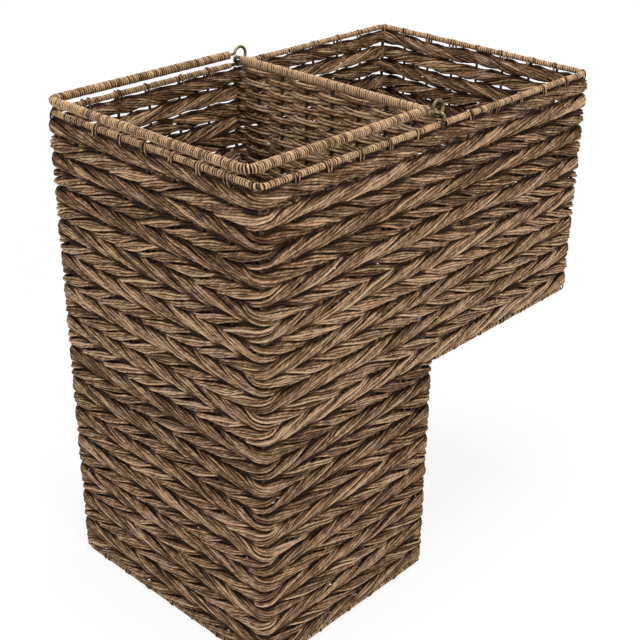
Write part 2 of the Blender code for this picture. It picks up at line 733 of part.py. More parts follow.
def make_handle(handle):
    """The bail handle: a wire with an eye at each end, and the cord wound on it."""
    wire = tube_curve("handle_wire", [handle_wire_route()], HANDLE_WIRE_RADIUS, WIRE_RESOLUTION)
    keep(wire, "handle_wire", dark_steel("handle_wire"), handle)
    bow = filleted(handle_corners(), HANDLE_BEND_RADIUS, CORNER_STEPS)
    bore = tube_cutter("handle_clearance", [lengthened(bow, OVERRUN)], HANDLE_WIRE_RADIUS + CLEARANCE,
                       WIRE_RESOLUTION)
    bore.parent = handle
    wrap_piece("handle_wrap", bow, HANDLE_WRAP_RADIUS, False, (bore,), handle)


def body_empty(name, place):
    """An empty that carries the pieces of one body."""
    item = bpy.data.objects.new(name, None)
    item.location = place
    bpy.data.collections[PARTS_NAME].objects.link(item)
    return item


def main():
    """Build every piece of the basket."""
    clear_scene()
    basket = body_empty("basket_body", Vector((0, 0, 0)))
    handle = body_empty("handle_hinge", Vector((0, STEP_Y, PIVOT_Z)))
    families = stake_routes()
    posts = post_routes()
    cutters = make_clearances(families, posts)
    make_frame_wires(basket)
    make_posts(posts, basket)
    make_stakes(families, basket)
    make_walls(cutters, basket)
    make_divider(cutters, basket)
    make_floors(cutters, basket)
    make_wraps(cutters, basket)
    make_rail_wrap(cutters, basket)
    make_handle(handle)


main()
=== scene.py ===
"""Looks of the stair basket: woven strand walls, wound cord, lacquered wire and a plain studio."""

import math

import bpy
import numpy as np
from bpy.props import FloatProperty, FloatVectorProperty, IntProperty, PointerProperty
from mathutils import Matrix, Vector


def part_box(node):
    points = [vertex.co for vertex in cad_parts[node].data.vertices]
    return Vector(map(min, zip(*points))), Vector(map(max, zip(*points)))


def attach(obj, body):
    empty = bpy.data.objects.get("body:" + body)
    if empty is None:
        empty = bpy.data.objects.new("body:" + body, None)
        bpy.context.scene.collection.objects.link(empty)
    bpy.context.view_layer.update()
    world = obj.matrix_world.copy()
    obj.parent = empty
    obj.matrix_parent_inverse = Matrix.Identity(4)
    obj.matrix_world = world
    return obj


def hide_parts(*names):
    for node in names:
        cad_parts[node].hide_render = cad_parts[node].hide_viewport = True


bl_info = {
    "name": "Stair basket looks",
    "version": (1, 0, 0),
    "blender": (4, 5, 0),
    "location": "View3D > Sidebar > Basket",
    "description": "Weaves, winds and lights the stair basket round its CAD frame",
    "category": "Object",
}

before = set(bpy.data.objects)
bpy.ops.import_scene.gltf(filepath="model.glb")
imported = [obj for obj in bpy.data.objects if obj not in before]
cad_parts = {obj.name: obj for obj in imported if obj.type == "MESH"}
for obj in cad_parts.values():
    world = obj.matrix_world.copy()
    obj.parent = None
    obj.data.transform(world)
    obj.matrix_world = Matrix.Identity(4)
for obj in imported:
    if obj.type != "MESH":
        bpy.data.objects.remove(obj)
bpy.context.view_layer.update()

# Names of the UV map and of the two shades that every point carries
# The tint holds each strand's own shade, with painted shade on the walls' dives and painted light on the
# panels
LAY = "lay"
TINT = "tint"
HUE = "hue"

# Lines that the strands and the cord follow, in metres
CORNER_RADIUS = 0.006
HANDLE_BEND = 0.008
TABLE_STEP = 0.0002
ARC_POINTS = 41

# Tubes: sides of a wall strand or lashing, sides of the finer ones, and most triangles in a piece of wall
STOUT_SIDES = 6
FINE_SIDES = 5
TUBE_LIMIT = 185000

SEEDS = {"upper": 7, "column": 11, "divider": 23, "column_floor": 31, "shelf_floor": 37, "rim": 41,
         "bases": 43, "rail": 47, "handle": 53, "lashings": 59}

# Wandering sums this many waves. In the walls: how far, in metres or radians, and the least wave in stakes
WAVES = 6
ROW_WANDER = (0.00085, 3)
TURN_WANDER = (0.13, 2)
CLIMB_WANDER = (0.00025, 2)
STAND_WANDER = (0.00020, 2)
ACROSS_WANDER = (0.00030, 1.5)
DEEP_WANDER = (0.00022, 1.5)
# In the panels, with the wave as a share of half their length
PANEL_HIGH_WANDER = (0.00016, 0.2)
PANEL_DEEP_WANDER = (0.00015, 0.2)

# Bundles: steps in stakes, the extra ones at a corner post, how flat they stand on a face, how late their
# strands fan out past a stake, and how much painted shade darkens them as they dive
STAKE_STEP = 0.2
POST_STEPS = (-0.15, -0.1, -0.05, 0.05, 0.1, 0.15)
POST_CATCH = 0.3
STAND_FLATNESS = 1.4
FAN_POWER = 3.6
PAINTED_SHADE_START = 1.28
PAINTED_SHADE_RATE = 1.8
STRAND_SPREAD = (0.86, 1.08)
STRAND_TINT = (0.52, 0.17)
ROW_TINT = 0.04

# Panels: how flat a strand lies on a wire, how far apart two lie and how much closer at a wire, how deep
# they swing, how oval they are, their shades, paler than the walls' as painted light for the lamps that
# hardly reach them, steps from wire to wire, and how far their ends tuck in
PANEL_FLATNESS = 1.3
PAIR_APART = 0.54
PAIR_CLOSER = 0.09
DIVIDER_LIFT = 0.0023
MAT_LIFT = 0.0018
PANEL_OVAL = 0.85
PANEL_SPREAD = (0.93, 1.10)
PANEL_TINT_AND_PAINTED_LIGHT = (0.80, 0.18)
PANEL_TINT_RANGE = (0.3, 1.3)
WIRE_STEPS = 6
DIVIDER_TUCK = 0.0006
EYE_ROOM = 0.012
MAT_TUCK = 0.0015
MAT_END_TUCK = 1.7 * MAT_TUCK

# Cord: steps in a turn, half its width as a share of a turn, the scatter of its turns, and how pale each is
TURN_STEPS = 10
RAIL_STEPS = 14
CORD_HALF = 0.52
TURN_WOBBLE = 0.10
TURN_LOOSENESS = (-0.04, 0.10)
TURN_SHADE = 0.28
TONE_TURNS = 6
TONE_RANGE = (0.2, 1)
GAP_SPREAD = (0.5, 1.4)
PALE = {"rim": 0.64, "bases": 0.5, "rail": 0.85, "handle": 0.46}
RAIL_CORD = 0.0006
HANDLE_WIRE = 0.00125

# Lashings: points of a loop, spread of their drops, lean, distance from the stake, share kept, and cord
LASH_POINTS = 24
LASH_DROPS = (0.75, 1.2)
LASH_LEAN = 0.0011
LASH_BESIDE = (0.6, 1.6)
LASH_KEPT = 0.7
LASH_THICK = 0.0006
LASH_HALF = 0.0009
LASH_TINT = (0.25, 0.2)
FRONT_RELIEF = 0.0004
# On the bases: how far a loop sinks into the cord and stands off it, and the shelf wire's bare start
BASE_SUNK = 0.0006
BASE_OFF = 0.0014
SHELF_START = 0.004

# How near a place on the rim has to be to the side walls and to the divider to count as their meeting
SIDE_CATCH = 0.001
DIVIDER_CATCH = 0.006


def box_of(node):
    """Lowest and highest corner of a CAD node, as arrays."""
    low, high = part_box(node)
    return np.array(low), np.array(high)


def middle_of(node):
    """Middle of a CAD node's box."""
    low, high = box_of(node)
    return (low + high) / 2


def family(stem, axis):
    """Middles along an axis of the CAD nodes whose names are the stem and a number, in order."""
    names = sorted(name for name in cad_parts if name.startswith(stem + "_"))
    return [float(middle_of(name)[axis]) for name in names]


RIM_LOW, RIM_HIGH = box_of("rim_wire")
RIM_WIRE = (RIM_HIGH[2] - RIM_LOW[2]) / 2
RIM_Z = (RIM_HIGH[2] + RIM_LOW[2]) / 2
RIM_CORD = box_of("front_rim_wrap")[1][2] - RIM_Z
HALF_X = RIM_HIGH[0] - RIM_WIRE
FRONT_Y = RIM_LOW[1] + RIM_WIRE
BACK_Y = RIM_HIGH[1] - RIM_WIRE
STEP_Y = middle_of("divider_weave")[1]
LONG_X = family("column_long_stake", 0)
COLUMN_CROSS_Y = family("column_cross_stake", 1)
SHELF_CROSS_Y = family("shelf_cross_stake", 1)


class WeaveSizes(bpy.types.PropertyGroup):
    """Sizes of the woven walls, the divider and the floors."""

    rows_above: IntProperty(
        name="Rows above", description="Rows of rope over the shelf's base", default=14, min=1)
    rows_below: IntProperty(
        name="Rows below", description="Rows of rope round the column", default=14, min=1)
    bundles: IntProperty(
        name="Bundles", description="Bundles that twine into one row", default=4, min=2)
    strands: IntProperty(
        name="Strands", description="Strands that lie side by side in a bundle", default=4, min=1)
    strand_radius: FloatProperty(
        name="Strand radius", description="Radius of a wall strand", default=0.00108, unit="LENGTH")
    swing_high: FloatProperty(
        name="Swing up and down", description="How far a bundle's middle climbs from the row's middle",
        default=0.0059, unit="LENGTH")
    loose_top: FloatProperty(
        name="Looser top", description="Share by which the row under the rim swings less",
        default=0.20, min=0, max=0.5, subtype="FACTOR")
    loose_rows: IntProperty(
        name="Looser rows", description="Rows over which the looseness dies away", default=6, min=1)
    straight: FloatProperty(
        name="Straightness", description="How straight a bundle climbs: 0 is a wave, 1 a zigzag",
        default=0.7, min=0, max=1, subtype="FACTOR")
    swing_out: FloatProperty(
        name="Swing in and out", description="How far a bundle's middle stands off the stakes",
        default=0.0032, unit="LENGTH")
    fan_width: FloatProperty(
        name="Fan width", description="Half width of a bundle where it lies flat on the face",
        default=0.0030, unit="LENGTH")
    crown: FloatProperty(
        name="Crown", description="How far a bundle's middle bulges from its edges",
        default=0.0005, unit="LENGTH")
    pinch: FloatProperty(
        name="Pinch", description="Half width of a bundle between two stakes", default=0.0013, unit="LENGTH")
    panel_pitch: FloatProperty(
        name="Panel row pitch", description="Height of one row of the divider and floors",
        default=0.0048, unit="LENGTH")
    panel_strand: FloatProperty(
        name="Panel strand radius", description="Radius of a strand of the divider and floors",
        default=0.00128, unit="LENGTH")


class CordSizes(bpy.types.PropertyGroup):
    """Sizes of the wound cord."""

    rim_turn: FloatProperty(
        name="Rim turn", description="Length of the rim that one turn covers", default=0.0021, unit="LENGTH")
    handle_turn: FloatProperty(
        name="Handle turn", description="Length of the handle that one turn covers",
        default=0.0019, unit="LENGTH")
    stake_gap: FloatProperty(
        name="Gap at a stake", description="Bare length of the rim wire over a stake",
        default=0.0016, unit="LENGTH")
    lash_drop: FloatProperty(
        name="Lashing drop", description="How far a lashing hangs below the rim wire",
        default=0.0075, unit="LENGTH")
    divider_gap: FloatProperty(
        name="Gap at the divider", description="Bare length of the rim wire where the pivot wire lands",
        default=0.0072, unit="LENGTH")


class BasketColours(bpy.types.PropertyGroup):
    """Colours of the strands, the cord and the wires."""

    # The darkest strand colour also serves as painted shade in the hollows where bundles dive and between
    # strands
    strand_dark: FloatVectorProperty(
        name="Strand, darkest", description="Darkest strand tone, and painted shade in its hollows",
        default=(0.018, 0.009, 0.004), subtype="COLOR", min=0, max=1)
    strand_mid: FloatVectorProperty(
        name="Strand", description="Usual brown of a strand",
        default=(0.112, 0.059, 0.027), subtype="COLOR", min=0, max=1)
    # The palest stop of a strand's colour ramp, reached on its palest streaks and strands
    strand_light: FloatVectorProperty(
        name="Strand, palest", description="Palest streaks of a strand",
        default=(0.465, 0.325, 0.202), subtype="COLOR", min=0, max=1)
    # The darkest cord colour also serves as painted shade on the flanks between the turns
    cord_dark: FloatVectorProperty(
        name="Cord, darkest", description="Darkest cord tone, and painted shade between its turns",
        default=(0.030, 0.016, 0.008), subtype="COLOR", min=0, max=1)
    cord_mid: FloatVectorProperty(
        name="Cord", description="Usual tan of the cord",
        default=(0.150, 0.082, 0.039), subtype="COLOR", min=0, max=1)
    # The palest cord colour serves the paler turns and the painted highlight on the turns' crests
    cord_light: FloatVectorProperty(
        name="Cord, palest", description="Paler turns of the cord, and painted highlight on their crests",
        default=(0.460, 0.310, 0.178), subtype="COLOR", min=0, max=1)
    wire: FloatVectorProperty(
        name="Wire", description="Lacquer on the steel wire",
        default=(0.050, 0.038, 0.026), subtype="COLOR", min=0, max=1)
    wire_worn: FloatVectorProperty(
        name="Wire, worn", description="Worn patches of the lacquer",
        default=(0.085, 0.062, 0.038), subtype="COLOR", min=0, max=1)
    wire_brass: FloatVectorProperty(
        name="Wire, rubbed", description="Rubbed patches of the handle's wires",
        default=(0.30, 0.23, 0.12), subtype="COLOR", min=0, max=1)


# Shapes


def unit(vectors):
    """Vectors of the same directions and length one."""
    return vectors / np.linalg.norm(vectors, axis=-1, keepdims=True)


def rounded_line(corners, radius):
    """Table of a flat line through the corners, each inner corner rounded by an arc.

    Straights run between the ends of the arcs. An arc's point at angle a is its centre plus the radius
    times (ahead * sin a - inward * cos a). Returns the length at each point, the points, and the level
    direction that points away from the middle of a loop walked anticlockwise.
    """
    corners = np.array(corners, dtype=float)
    pieces = [corners[:1]]
    for before, corner, after in zip(corners, corners[1:], corners[2:]):
        ahead = unit(corner - before)
        turned = unit(after - corner)
        turn = math.acos(np.clip(ahead @ turned, -1, 1))
        start = corner - ahead * radius * math.tan(turn / 2)
        inward = unit(turned - ahead * (ahead @ turned))
        angle = np.linspace(0, turn, ARC_POINTS)[:, None]
        pieces.append(start + inward * radius + radius * (ahead * np.sin(angle) - inward * np.cos(angle)))
    pieces.append(corners[-1:])
    knots = np.concatenate(pieces)
    length = np.concatenate([[0], np.cumsum(np.linalg.norm(np.diff(knots, axis=0), axis=1))])
    table = np.linspace(0, length[-1], int(length[-1] / TABLE_STEP) + 1)
    points = np.stack([np.interp(table, length, knots[:, axis]) for axis in range(3)], axis=-1)
    along = unit(np.gradient(points, axis=0))
    outward = np.stack([along[:, 1], -along[:, 0], np.zeros(len(along))], axis=-1)
    return table, points, outward


def at_length(line, length):
    """Points and outward directions of a line's table at these lengths, wherever they lie on a loop."""
    table, points, outward = line
    place = np.mod(length, table[-1])
    return tuple(np.stack([np.interp(place, table, block[:, axis]) for axis in range(3)], axis=-1)
                 for block in (points, outward))


def loop_line(back_y, height):
    """The rounded rectangle of the wall centres, anticlockwise from the middle of the front wall."""
    corners = [(0, FRONT_Y), (HALF_X, FRONT_Y), (HALF_X, back_y), (-HALF_X, back_y), (-HALF_X, FRONT_Y),
               (0, FRONT_Y)]
    return rounded_line([(x, y, height) for x, y in corners], CORNER_RADIUS)


def nearest_lengths(line, places):
    """Length of the line's point that is nearest to each place, in rising order."""
    table, points, _ = line
    apart = np.linalg.norm(points[None, :, :2] - np.array(places)[:, None, :], axis=-1)
    return np.sort(table[np.argmin(apart, axis=1)])


def uprights(back_y):
    """Places of the stakes and posts round the column, or round the whole basket."""
    whole = back_y > STEP_Y + CORNER_RADIUS
    places = [(x, y) for x in LONG_X for y in (FRONT_Y, back_y)]
    cross = COLUMN_CROSS_Y + (SHELF_CROSS_Y if whole else [])
    places += [(x, y) for y in cross for x in (-HALF_X, HALF_X)]
    for group in ("front", "step", "back") if whole else ("front", "step"):
        places += [tuple(middle_of(f"{group}_{side}_post")[:2]) for side in ("left", "right")]
    return places


def wrapped(knots, line):
    """Lengths round a loop, with the first one repeated at the end a whole loop further on."""
    return np.append(knots, knots[0] + line[0][-1])


def beside_divider(places):
    """Which places on the rim's line are where the divider meets the side walls."""
    return ((np.abs(np.abs(places[:, 0]) - HALF_X) < SIDE_CATCH)
            & (np.abs(places[:, 1] - STEP_Y) < DIVIDER_CATCH))


def tube_points(centres, outward, thick, wide, sides, closed):
    """Rings round many lines: centre + cos a * thick * out + sin a * wide * side, with a going round.

    Side is the line's direction crossed with the outward one, and out is side crossed with the direction.
    """
    ahead = np.roll(centres, -1, axis=1)
    behind = np.roll(centres, 1, axis=1)
    if not closed:
        ahead[:, -1] = centres[:, -1]
        behind[:, 0] = centres[:, 0]
    along = unit(ahead - behind)
    side = unit(np.cross(along, outward))
    out = np.cross(side, along)
    angle = 2 * math.pi * np.arange(sides) / sides
    ring = (np.cos(angle)[:, None] * (thick * out)[:, :, None, :]
            + np.sin(angle)[:, None] * (wide * side)[:, :, None, :])
    return centres[:, :, None, :] + ring


def tube_arrays(rings, closed, tint, hue):
    """Arrays of many tubes from their rings: points, face corners, face starts, UVs and the two shades.

    Quads join ring to ring, and open tubes get a flat cap at both ends. U goes once round. V is the length
    along the tube in metres.
    """
    tubes, steps, sides, _ = rings.shape
    index = np.arange(tubes * steps * sides).reshape(tubes, steps, sides)
    spans = np.linalg.norm(np.diff(rings.mean(axis=2), axis=1, append=rings.mean(axis=2)[:, :1]), axis=-1)
    length = np.concatenate([np.zeros((tubes, 1)), np.cumsum(spans, axis=1)], axis=1)
    last = steps if closed else steps - 1
    here = index[:, :last]
    ahead = np.roll(index, -1, axis=1)[:, :last]
    quads = np.stack([here, np.roll(here, -1, axis=2), np.roll(ahead, -1, axis=2), ahead], axis=-1)
    around = np.arange(sides) / sides
    lay = np.zeros(quads.shape + (2,))
    lay[..., 0] = np.stack([around, around + 1 / sides, around + 1 / sides, around], axis=-1)
    lay[..., 0:2, 1] = length[:, :last, None, None]
    lay[..., 2:4, 1] = length[:, 1:last + 1, None, None]
    corners = [quads.reshape(-1)]
    starts = [np.arange(quads.size // 4) * 4]
    lays = [lay.reshape(-1, 2)]
    if not closed:
        caps = np.concatenate([index[:, 0, ::-1], index[:, -1]])
        corners.append(caps.reshape(-1))
        starts.append(quads.size + np.arange(len(caps)) * sides)
        lays.append(np.zeros((caps.size, 2)))
    shades = [np.repeat(np.broadcast_to(shade, (tubes, steps)).ravel(), sides) for shade in (tint, hue)]
    return (rings.reshape(-1, 3), np.concatenate(corners), np.concatenate(starts), np.concatenate(lays),
            *shades)


def joined(blocks):
    """Several tubes' arrays in one, with the later blocks' points and corners counted on."""
    points, corners, starts, lays, tints, hues = zip(*blocks)
    first_point = np.cumsum([0] + [len(block) for block in points[:-1]])
    first_corner = np.cumsum([0] + [len(block) for block in corners[:-1]])
    corners = [block + first for block, first in zip(corners, first_point)]
    starts = [block + first for block, first in zip(starts, first_corner)]
    return [np.concatenate(part) for part in (points, corners, starts, lays, tints, hues)]


def build_mesh(name, arrays):
    """A smooth mesh from a tube's arrays, with its UV map and shades."""
    points, corners, starts, lays, tint, hue = arrays
    mesh = bpy.data.meshes.new(name)
    mesh.vertices.add(len(points))
    mesh.vertices.foreach_set("co", points.astype(np.float32).reshape(-1))
    mesh.loops.add(len(corners))
    mesh.loops.foreach_set("vertex_index", corners.astype(np.int32))
    mesh.polygons.add(len(starts))
    mesh.polygons.foreach_set("loop_start", starts.astype(np.int32))
    mesh.polygons.foreach_set("use_smooth", np.ones(len(starts), dtype=bool))
    mesh.update(calc_edges=True)
    mesh.uv_layers.new(name=LAY).data.foreach_set("uv", lays.astype(np.float32).reshape(-1))
    for label, shade in ((TINT, tint), (HUE, hue)):
        mesh.attributes.new(label, "FLOAT", "POINT").data.foreach_set("value", shade.astype(np.float32))
    mesh.validate()
    return mesh


def place_piece(name, mesh, material, body, nodes):
    """Show a finished mesh as a piece that rides on a body and stands for CAD nodes."""
    mesh.materials.append(material)
    piece = bpy.data.objects.new(name, mesh)
    bpy.context.scene.collection.objects.link(piece)
    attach(piece, body)
    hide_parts(*nodes)


def wander(rng, shape, turn, period, size, shortest):
    """Smooth seeded wandering that closes on itself: a sum of waves of whole counts in the period."""
    counts = rng.integers(1, max(2, int(period / shortest)) + 1, size=shape + (WAVES,))
    phases = rng.uniform(0, 2 * math.pi, size=shape + (WAVES,))
    waves = np.cos(2 * math.pi * counts[..., None] * turn / period + phases[..., None])
    return size * waves.sum(axis=-2) / math.sqrt(WAVES)


def rope_rows(line, knots, heights, hands, swings, sizes, rng):
    """Centres of the strands of rows of rope that twine round the stakes, and how much painted shade each
    point gets as it dives.

    With t the count of stakes passed, a bundle turns by one whole turn in as many stakes as there are
    bundles. Its middle climbs as a mix of cos turn and a triangle wave, and stands off the stakes as the
    flattened wave tanh(sin turn). Its strands spread along the turning ellipse's tangent, in a crowned
    fan on the faces and pinched into a round between two stakes.
    """
    period = len(knots) - 1
    if period % sizes.bundles:
        raise ValueError("the count of stakes round a wall has to be a multiple of the bundles in a row")
    outward = at_length(line, knots[:-1])[1]
    posts = np.flatnonzero(np.abs(np.abs(outward[:, 0]) - math.sqrt(0.5)) < POST_CATCH)
    fine = (posts[:, None] + np.array(POST_STEPS)).ravel()
    turn = np.concatenate([np.arange(0, period, STAKE_STEP), fine])
    turn = np.unique(np.round(np.mod(turn, period), 4))
    places, outward = at_length(line, np.interp(turn, np.arange(period + 1), knots))
    rows, bundles, strands = len(heights), sizes.bundles, sizes.strands
    bundle = (rows, bundles, 1)
    strand = (rows, bundles, strands)
    row = np.array(heights)[:, None, None, None] + wander(rng, (rows, 1, 1), turn, period, *ROW_WANDER)
    hand = np.array(hands)[:, None, None, None]
    step = 2 * math.pi / bundles
    angle = (hand * step * (turn - 0.5) + step * np.arange(bundles)[None, :, None, None]
             + wander(rng, bundle, turn, period, *TURN_WANDER))
    climb = (1 - sizes.straight) * np.cos(angle) + sizes.straight * 2 / math.pi * np.arcsin(np.cos(angle))
    stand = np.tanh(STAND_FLATNESS * np.sin(angle)) / math.tanh(STAND_FLATNESS)
    up = np.array(swings)[:, None, None, None] + wander(rng, bundle, turn, period, *CLIMB_WANDER)
    out = sizes.swing_out + wander(rng, bundle, turn, period, *STAND_WANDER)
    flat = np.abs(np.sin(angle)) ** FAN_POWER
    tangent = unit(np.stack([-up * np.sin(angle), out * np.cos(angle)], axis=-1))
    normal = np.stack([-tangent[..., 1], tangent[..., 0]], axis=-1)
    facing = normal[..., 1:] * np.sin(angle)[..., None] + normal[..., :1] * np.cos(angle)[..., None]
    normal *= np.sign(facing)
    fan = np.linspace(-1, 1, strands)[:, None]
    around = 2 * math.pi * (np.arange(strands) + 0.25) / strands
    order = np.argsort(np.cos(around))
    ring_across = np.cos(around)[order][:, None] * sizes.pinch
    ring_deep = np.sin(around)[order][:, None] * sizes.pinch
    across = (ring_across + (fan * sizes.fan_width - ring_across) * flat
              + wander(rng, strand, turn, period, *ACROSS_WANDER))
    deep = (ring_deep + (sizes.crown * (0.5 - fan ** 2) - ring_deep) * flat
            + wander(rng, strand, turn, period, *DEEP_WANDER))
    depth = out * stand + tangent[..., 1] * across + normal[..., 1] * deep
    centres = places + outward * depth[..., None]
    centres[..., 2] = row + up * climb + tangent[..., 0] * across + normal[..., 0] * deep
    # Painted shade: the nearer a point lies to the stakes' plane as its bundle dives, the darker it is
    # painted, standing in for the shade in the hollows
    painted_dive_shade = np.clip(PAINTED_SHADE_START - np.abs(depth) / sizes.swing_out * PAINTED_SHADE_RATE, 0, 1)
    return centres.reshape(-1, len(turn), 3), painted_dive_shade.reshape(-1, len(turn))


def weave_wall(context, stem, back_y, rows, first_row):
    """Rope rows between a sleeve's bottom and top, in pieces that stay light."""
    sizes = context.scene.basket_weave
    rng = np.random.default_rng(SEEDS[stem])
    low, high = box_of(stem + "_weave")
    line = loop_line(back_y, 0.0)
    knots = wrapped(nearest_lengths(line, uprights(back_y)), line)
    heights = high[2] - (high[2] - low[2]) / rows * (np.arange(rows) + 0.5)
    count = first_row + np.arange(rows)
    hands = np.where(count % 2 == 0, 1, -1)
    slack = np.clip(1 - count / sizes.loose_rows, 0, 1)
    swings = sizes.swing_high * (1 - sizes.loose_top * slack)
    centres, painted_dive_shade = rope_rows(line, knots, heights, hands, swings, sizes, rng)
    tubes = len(centres)
    radii = sizes.strand_radius * rng.uniform(*STRAND_SPREAD, size=(tubes, 1, 1))
    upward = np.broadcast_to([0.0, 0.0, 1.0], centres.shape)
    rings = tube_points(centres, upward, radii, radii, STOUT_SIDES, True)
    per_row = sizes.bundles * sizes.strands
    row_tint = np.repeat(rng.normal(0, ROW_TINT, rows), per_row)
    # Each strand's own tint, less the painted shade where its bundles dive
    tint = np.clip(rng.normal(*STRAND_TINT, tubes) + row_tint, 0, 1)[:, None] - painted_dive_shade
    hue = rng.uniform(0, 1, tubes)[:, None]
    row_triangles = per_row * rings.shape[1] * rings.shape[2] * 2
    groups = np.array_split(np.arange(rows), math.ceil(rows * row_triangles / TUBE_LIMIT))
    for number, group in enumerate(groups, start=1):
        chosen = slice(group[0] * per_row, (group[-1] + 1) * per_row)
        name = f"{stem}_rope_{number}"
        mesh = build_mesh(name, tube_arrays(rings[chosen], True, tint[chosen], hue[chosen]))
        place_piece(name, mesh, strand_stuff(context), "basket", [stem + "_weave"])


def panel_rows(low, high, pitch):
    """Middles of even rows between two edges, as many as the pitch fits."""
    count = round((high - low) / pitch)
    return low + (high - low) * (np.arange(count) + 0.5) / count


def panel_strands(half_lengths, rows, lift, sizes, rng):
    """Plain weave in its own plane: strands along X in rows, in front of one wire and behind the next.

    A strand's depth is lift times the flattened wave tanh(cos(pi * wires passed)), with the sign swapped
    from row to row. Two strands lie side by side in a row, closer where they pass a wire. Returns their
    centres with X along, Y the depth and Z up the panel.
    """
    gap = (LONG_X[-1] - LONG_X[0]) / (len(LONG_X) - 1)
    steps = WIRE_STEPS * (len(LONG_X) + 1)
    share = np.linspace(-1, 1, steps)
    along = share[None, None, :] * np.array(half_lengths)[:, None, None]
    sign = np.where(np.arange(len(rows)) % 2 == 0, 1, -1)[:, None, None]
    wave = np.tanh(PANEL_FLATNESS * np.cos(math.pi * (along - LONG_X[0]) / gap)) / math.tanh(PANEL_FLATNESS)
    beside = (np.arange(2) - 0.5)[None, :, None] * sizes.panel_pitch * (PAIR_APART - PAIR_CLOSER * wave ** 2)
    pairs = (len(rows), 2)
    high = np.array(rows)[:, None, None] + beside + wander(rng, pairs, share, 2.0, *PANEL_HIGH_WANDER)
    depth = sign * lift * wave + wander(rng, pairs, share, 2.0, *PANEL_DEEP_WANDER)
    parts = [np.broadcast_to(block, pairs + (steps,)) for block in (along, depth, high)]
    return np.stack(parts, axis=-1).reshape(-1, steps, 3)


def weave_panel(context, stem, centres, outward, rng):
    """Finish a plain-weave panel from its strands' centres."""
    tubes = len(centres)
    radii = context.scene.basket_weave.panel_strand * rng.uniform(*PANEL_SPREAD, size=(tubes, 1, 1))
    facing = np.broadcast_to(outward, centres.shape)
    rings = tube_points(centres, facing, radii * PANEL_OVAL, radii, FINE_SIDES, False)
    # Painted light: the panels' strands get a paler tint than the walls', standing in for lamp light that
    # hardly reaches them
    tint = np.clip(rng.normal(*PANEL_TINT_AND_PAINTED_LIGHT, tubes), *PANEL_TINT_RANGE)[:, None]
    hue = rng.uniform(0, 1, tubes)[:, None]
    name = stem + "_strands"
    mesh = build_mesh(name, tube_arrays(rings, False, tint, hue))
    place_piece(name, mesh, strand_stuff(context), "basket", [stem + "_weave"])


def winding(line, start, end, turn, core, pale, rng, steps=TURN_STEPS, stretch=0.0):
    """Centre line of cord wound round a line from one length to another.

    At length s the cord stands at the line's point plus core * (cos a * up + sin a * out), with a going
    once round each turn. A stretch lifts the upper half of each turn and drops the lower one, for cord
    round two wires. Its turns' shades scatter about pale, from 0 to 1. Returns the centres, the directions
    away from the core, the shades and the slower tones.
    """
    turns = max(1, round((end - start) / turn))
    count = np.linspace(0, turns, turns * steps + 1)
    whole = np.arange(turns + 1)
    wobble = np.interp(count, whole, rng.normal(0, TURN_WOBBLE, turns + 1))
    place = start + (end - start) * np.clip(count + wobble, 0, turns) / turns
    points, outward = at_length(line, np.minimum(place, line[0][-1] * (1 - 1e-9)))
    angle = 2 * math.pi * count
    loose = core * (1 + np.interp(count, whole, rng.uniform(*TURN_LOOSENESS, turns + 1)))
    up = np.array([0.0, 0.0, 1.0])
    lift = stretch * np.clip(2 * np.cos(angle), -1, 1)
    radial = np.cos(angle)[:, None] * up + np.sin(angle)[:, None] * outward
    centres = points + loose[:, None] * radial + lift[:, None] * up
    shade = np.interp(count, whole, np.clip(rng.normal(pale, TURN_SHADE, turns + 1), 0, 1))
    slow = np.arange(0, turns + TONE_TURNS, TONE_TURNS)
    tone = np.interp(count, slow, rng.uniform(*TONE_RANGE, len(slow)))
    return centres[None], radial[None], shade, tone


def join_windings(context, name, coils, thick, turn, body, nodes):
    """One piece of several wound lengths, each swept by itself."""
    blocks = [tube_arrays(tube_points(centres, radial, thick, turn * CORD_HALF, FINE_SIDES, False), False,
                          shade[None], tone[None]) for centres, radial, shade, tone in coils]
    place_piece(name, build_mesh(name, joined(blocks)), cord_stuff(context), body, nodes)


def lashings(line, lengths, radius, wide, drop, way, rng):
    """Centre lines of loops on a line: an upright oval at each length, leaning a little.

    A point at the angle a stands wide * sin a out. Its height runs from radius at one end of the oval to
    minus the drop at the other, times the way: 1 hangs down and -1 stands up. It leans along the line by
    a seeded part of cos a.
    """
    angle = 2 * math.pi * np.arange(LASH_POINTS) / LASH_POINTS
    points, outward = at_length(line, lengths)
    up = np.array([0.0, 0.0, 1.0])
    along = np.cross(up, outward)
    drops = drop * rng.uniform(*LASH_DROPS, (len(lengths), 1))
    lift = way * ((radius - drops) / 2 + (radius + drops) / 2 * np.cos(angle))
    lean = rng.normal(0, LASH_LEAN, (len(lengths), 1)) * np.cos(angle)
    centres = (points[:, None] + wide * np.sin(angle)[:, None] * outward[:, None]
               + lift[..., None] * up + lean[..., None] * along[:, None])
    radial = np.sin(angle)[:, None] * outward[:, None] + way * np.cos(angle)[:, None] * up
    return centres, radial


def lash(context, stem, line, knots, shape, thick, rng):
    """One piece of the lashings beside the stakes: two loops to a stake, and most of them kept."""
    sizes = context.scene.basket_cord
    radius, wide, way = shape
    both = np.repeat(knots, 2)
    step = np.where(np.arange(len(both)) % 2 == 0, 1, -1) * rng.uniform(*LASH_BESIDE, len(both))
    kept = rng.uniform(0, 1, len(both)) < LASH_KEPT
    places = (both + step * sizes.stake_gap)[kept]
    centres, radial = lashings(line, places, radius, wide, sizes.lash_drop, way, rng)
    rings = tube_points(centres, radial, thick, LASH_HALF, STOUT_SIDES, True)
    tint = rng.normal(*LASH_TINT, (len(centres), 1))
    hue = rng.uniform(0, 1, (len(centres), 1))
    name = stem + "_lashings"
    mesh = build_mesh(name, tube_arrays(rings, True, tint, hue))
    place_piece(name, mesh, cord_stuff(context), "basket", [stem + "_wrap"])


# Materials


